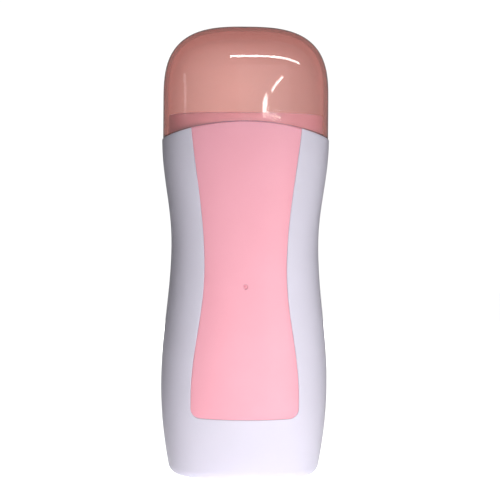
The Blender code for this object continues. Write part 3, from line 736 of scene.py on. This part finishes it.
def cap():
    angles = [2 * math.pi * k / RING_COLUMNS for k in range(RING_COLUMNS)]
    rings = []
    for row in range(CAP_WALL_ROWS):
        ring = []
        for angle in angles:
            edge = oval_point(*CAP_HALF, angle, 0)
            low = rim_z(edge.x) + CAP_GAP
            ring.append(Vector((edge.x, edge.y, low + (CAP_DOME_Z - low) * row / CAP_WALL_ROWS)))
        rings.append(ring)
    for row in range(CAP_DOME_ROWS):
        turn = math.radians(89.4 * row / (CAP_DOME_ROWS - 1))
        power = CAP_DOME_POWER
        reach = (math.cos(turn) ** power + math.sin(turn) ** power) ** (-1 / power)
        spread = reach * math.cos(turn)
        z = CAP_DOME_Z + (CAP_TOP_Z - CAP_DOME_Z) * reach * math.sin(turn)
        rings.append([oval_point(CAP_HALF[0] * spread, CAP_HALF[1] * spread, a, z) for a in angles])
    shape = bmesh.new()
    rows = [[shape.verts.new(point) for point in ring] for ring in rings]
    add_rows(shape, rows)
    pole = shape.verts.new((0, 0, CAP_TOP_Z))
    for k in range(RING_COLUMNS):
        shape.faces.new((rows[-1][k], rows[-1][(k + 1) % RING_COLUMNS], pole))
    cover = add_object("cap_clear", shape)
    thicken(cover, CAP_WALL)
    soften_edges(cover, EDGE_ROUND)
    smooth(cover)
    place(cover, CLEAR, "cap", "cap")


def neck_collar():
    low = collar_low.z
    top = collar_high.z
    angles = [2 * math.pi * k / RING_COLUMNS for k in range(RING_COLUMNS)]

    def outer(inset, z):
        half_y = collar_high.y
        half_x = half_y * COLLAR_ASPECT
        return [oval_point(half_x - inset, half_y - inset, a, z) for a in angles]

    def opening(outset, z):
        half_x = well_high.x - MOUTH_LEDGE + outset
        half_y = well_high.y - MOUTH_LEDGE + outset
        return [rectangle_point(half_x, half_y, MOUTH_CORNER, a, z) for a in angles]

    rings = [outer(0, low)]
    rings += [outer(0, z) for z in spaced(low, top - COLLAR_ROUND, COLLAR_ROW)[1:]]
    for step in range(6):
        turn = math.radians(90 * step / 5)
        drop = COLLAR_ROUND * (1 - math.sin(turn))
        rings.append(outer(COLLAR_ROUND * (1 - math.cos(turn)), top - drop))
    for step in range(5):
        turn = math.radians(90 * step / 4)
        drop = MOUTH_ROUND * (1 - math.cos(turn))
        rings.append(opening(MOUTH_ROUND * (1 - math.sin(turn)), top - drop))
    rings.append(opening(0, top - COLLAR_DECK))
    rings.append(outer(COLLAR_WALL, top - COLLAR_DECK))
    rings.append(outer(COLLAR_WALL, low))
    collar = loft("collar_white", rings, capped=False)
    smooth(collar)
    # The collar wears the brightened copy of the white plastic, which is painted light
    place(collar, COLLAR_BRIGHTENED, "body", "neck_collar")


def rectangle_point(half_x, half_y, radius, angle, z):
    """The point of a round-cornered rectangle in the direction angle."""
    c = abs(math.cos(angle))
    s = abs(math.sin(angle))
    core_x = half_x - radius
    core_y = half_y - radius
    if s * half_x <= c * core_y:
        reach = half_x / c
    elif c * half_y <= s * core_x:
        reach = half_y / s
    else:
        along = c * core_x + s * core_y
        reach = along + math.sqrt(along**2 - core_x**2 - core_y**2 + radius**2)
    return Vector((reach * math.cos(angle), reach * math.sin(angle), z))


def heating_well():
    low = well_low.z
    top = well_high.z
    floor_z = low + WELL_FLOOR

    def ring(inset, z):
        outline = rounded_ring(well_high.x - inset, well_high.y - inset, WELL_CORNER - inset)
        return [Vector((x, y, z)) for x, y in outline]

    rings = []
    for step in range(6):
        turn = math.radians(90 * step / 5)
        rings.append(ring(WELL_FOLD * (1 - math.sin(turn)), low + WELL_FOLD * (1 - math.cos(turn))))
    rings += [ring(0, z) for z in spaced(low + WELL_FOLD, top, WELL_ROW)[1:]]
    for step in range(5):
        turn = math.radians(180 * step / 4)
        drop = WELL_WALL / 2 * (1 - math.sin(turn))
        rings.append(ring(WELL_WALL / 2 * (1 - math.cos(turn)), top - drop))
    rings += [ring(WELL_WALL, z) for z in spaced(top - WELL_WALL, floor_z + WELL_FOLD, WELL_ROW)]
    for step in range(6):
        turn = math.radians(90 * step / 5)
        inset = WELL_WALL + WELL_FOLD * (1 - math.cos(turn))
        rings.append(ring(inset, floor_z + WELL_FOLD * (1 - math.sin(turn))))
    well = loft("well_aluminium", rings)
    smooth(well)
    place(well, BRUSHED, "body", "heating_well")


# Nodes that keep their CAD shape


CAD_LOOKS = {
    "heat_spreader": BRUSHED,
    "ptc_element": CERAMIC,
    "mica_sheet": MICA,
    "pressure_spring": ZINC,
    "insulation_sleeve": FIBRE,
    "thermostat": BLACK,
    "thermal_fuse": ZINC,
    "led_board": BOARD,
    "indicator_led": EPOXY,
    "led_resistor": RESISTOR,
    "rectifier_diode": BLACK,
    "inlet_socket": BLACK,
    "inlet_pin_left": NICKEL,
    "inlet_pin_right": NICKEL,
    "case_screw_1": ZINC,
    "case_screw_2": ZINC,
    "case_screw_3": ZINC,
    "case_screw_4": ZINC,
    "wire_live": RED,
    "wire_fuse_to_thermostat": RED,
    "wire_thermostat_to_ptc": PALE,
    "wire_neutral": BLUE,
    "wire_led_live": PALE,
    "wire_led_neutral": PALE,
}


def dress_cad_nodes():
    for name, look in CAD_LOOKS.items():
        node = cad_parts[name]
        for slot in node.material_slots:
            slot.material = look


# Stage, light and camera


def radial_fade(tree, radius, kind):
    """A value that falls from 1 at the object's centre to 0 at a radius."""
    spot = tree.nodes.new("ShaderNodeTexCoord")
    shrink = tree.nodes.new("ShaderNodeMapping")
    shrink.inputs["Scale"].default_value = (1 / radius, 1 / radius, 1)
    fade = tree.nodes.new("ShaderNodeTexGradient")
    fade.gradient_type = kind
    tree.links.new(spot.outputs["Object"], shrink.inputs["Vector"])
    tree.links.new(shrink.outputs["Vector"], fade.inputs["Vector"])
    return fade.outputs["Fac"]


def white_floor():
    """A pale floor that glows for the camera, with a pool of light under the body."""
    bpy.ops.mesh.primitive_plane_add(size=FLOOR_SIZE, location=(0, 0, 0))
    floor = bpy.context.object
    floor.name = "floor"
    look, shader = new_material("floor_white", 0.7, colour=(0.9, 0.9, 0.9))
    shader.inputs["Emission Color"].default_value = (1, 1, 1, 1)
    tree = look.node_tree
    paths = tree.nodes.new("ShaderNodeLightPath")
    glow = tree.nodes.new("ShaderNodeMath")
    glow.operation = "MULTIPLY"
    glow.inputs[1].default_value = FLOOR_GLOW
    pool = tree.nodes.new("ShaderNodeMath")
    pool.operation = "MULTIPLY_ADD"
    pool.inputs[1].default_value = POOL_GLOW
    tree.links.new(paths.outputs["Is Camera Ray"], glow.inputs[0])
    tree.links.new(radial_fade(tree, POOL_RADIUS, "SPHERICAL"), pool.inputs[0])
    tree.links.new(glow.outputs[0], pool.inputs[2])
    tree.links.new(pool.outputs[0], shader.inputs["Emission Strength"])
    floor.data.materials.append(look)


def light_card():
    """A glowing card behind the cap, brighter in the middle, that only shows through it."""
    upright = (math.pi / 2, 0, 0)
    bpy.ops.mesh.primitive_plane_add(size=CARD_SIZE, location=CARD_PLACE, rotation=upright)
    card = bpy.context.object
    card.name = "light_card"
    card.visible_camera = False
    card.visible_diffuse = False
    card.visible_glossy = False
    card.visible_shadow = False
    look = bpy.data.materials.new("card_glow")
    look.use_nodes = True
    tree = look.node_tree
    tree.nodes.remove(tree.nodes["Principled BSDF"])
    glow = tree.nodes.new("ShaderNodeEmission")
    level = tree.nodes.new("ShaderNodeMapRange")
    level.inputs["To Min"].default_value = CARD_EDGE
    level.inputs["To Max"].default_value = CARD_CENTRE
    tree.links.new(radial_fade(tree, CARD_RADIUS, "QUADRATIC_SPHERE"), level.inputs["Value"])
    tree.links.new(level.outputs["Result"], glow.inputs["Strength"])
    tree.links.new(glow.outputs["Emission"], tree.nodes["Material Output"].inputs["Surface"])
    card.data.materials.append(look)


def studio_world():
    """White surroundings, with their own strength for each kind of ray."""
    world = bpy.data.worlds.new("studio")
    bpy.context.scene.world = world
    world.use_nodes = True
    tree = world.node_tree
    background = tree.nodes["Background"]
    background.inputs["Color"].default_value = (1.0, 1.0, 1.0, 1)
    paths = tree.nodes.new("ShaderNodeLightPath")
    level = None
    for ray, strength in (
        ("Is Glossy Ray", MIRRORED),
        ("Is Transmission Ray", BEHIND),
        ("Is Camera Ray", BACKDROP),
    ):
        blend = tree.nodes.new("ShaderNodeMix")
        blend.inputs["A"].default_value = AMBIENT
        blend.inputs["B"].default_value = strength
        tree.links.new(paths.outputs[ray], blend.inputs["Factor"])
        if level:
            tree.links.new(level, blend.inputs["A"])
        level = blend.outputs["Result"]
    tree.links.new(level, background.inputs["Strength"])


def soft_lamps():
    for name, spot, aim, size, power in LIGHTS:
        lamp = add_lamp(name, spot, aim, size, power)
        lamp.visible_transmission = False
        lamp.visible_glossy = name == "fill_front"


def streak_lamps():
    """Thin lamps whose long side runs from one given end to the other."""
    for name, start, end, width, radiance in TUBES:
        start = Vector(start)
        end = Vector(end)
        length = (end - start).length
        middle = (start + end) / 2
        power = math.pi * length * width * radiance
        lamp = add_lamp(name, middle, CAP_FACE, (length, width), power)
        along = (end - start).normalized()
        back = middle - Vector(CAP_FACE)
        back = (back - along * back.dot(along)).normalized()
        turn = Matrix((along, back.cross(along), back)).transposed()
        lamp.matrix_world = Matrix.Translation(middle) @ turn.to_4x4()
        lamp.visible_diffuse = False
        lamp.visible_transmission = False


def add_lamp(name, spot, aim, size, power):
    light = bpy.data.lights.new(name, "AREA")
    light.shape = "RECTANGLE"
    light.size, light.size_y = size
    light.energy = power
    lamp = bpy.data.objects.new(name, light)
    lamp.location = spot
    lamp.visible_camera = False
    lamp.rotation_euler = (Vector(aim) - Vector(spot)).to_track_quat("-Z", "Y").to_euler()
    bpy.context.scene.collection.objects.link(lamp)
    return lamp


def camera():
    lens = bpy.data.cameras.new("camera")
    lens.sensor_width = SENSOR
    lens.lens = SENSOR * CAMERA_DISTANCE / FRAME_WIDTH
    lens.clip_start = 0.01
    eye = bpy.data.objects.new("camera", lens)
    turn = Matrix.Rotation(math.radians(-CAMERA_TURN), 4, "Z")
    stand = Matrix.Translation((CAMERA_SIDE, -CAMERA_DISTANCE, CAMERA_HEIGHT))
    level = Matrix.Rotation(math.radians(90), 4, "X")
    roll = Matrix.Rotation(math.radians(CAMERA_ROLL), 4, "Z")
    eye.matrix_world = turn @ stand @ level @ roll
    bpy.context.scene.collection.objects.link(eye)
    bpy.context.scene.camera = eye
    bpy.context.scene.view_settings.view_transform = "Standard"


front_shell()
rear_shell()
front_panel()
light_pipe()
cap()
neck_collar()
heating_well()
dress_cad_nodes()
white_floor()
light_card()
studio_world()
soft_lamps()
streak_lamps()
camera()
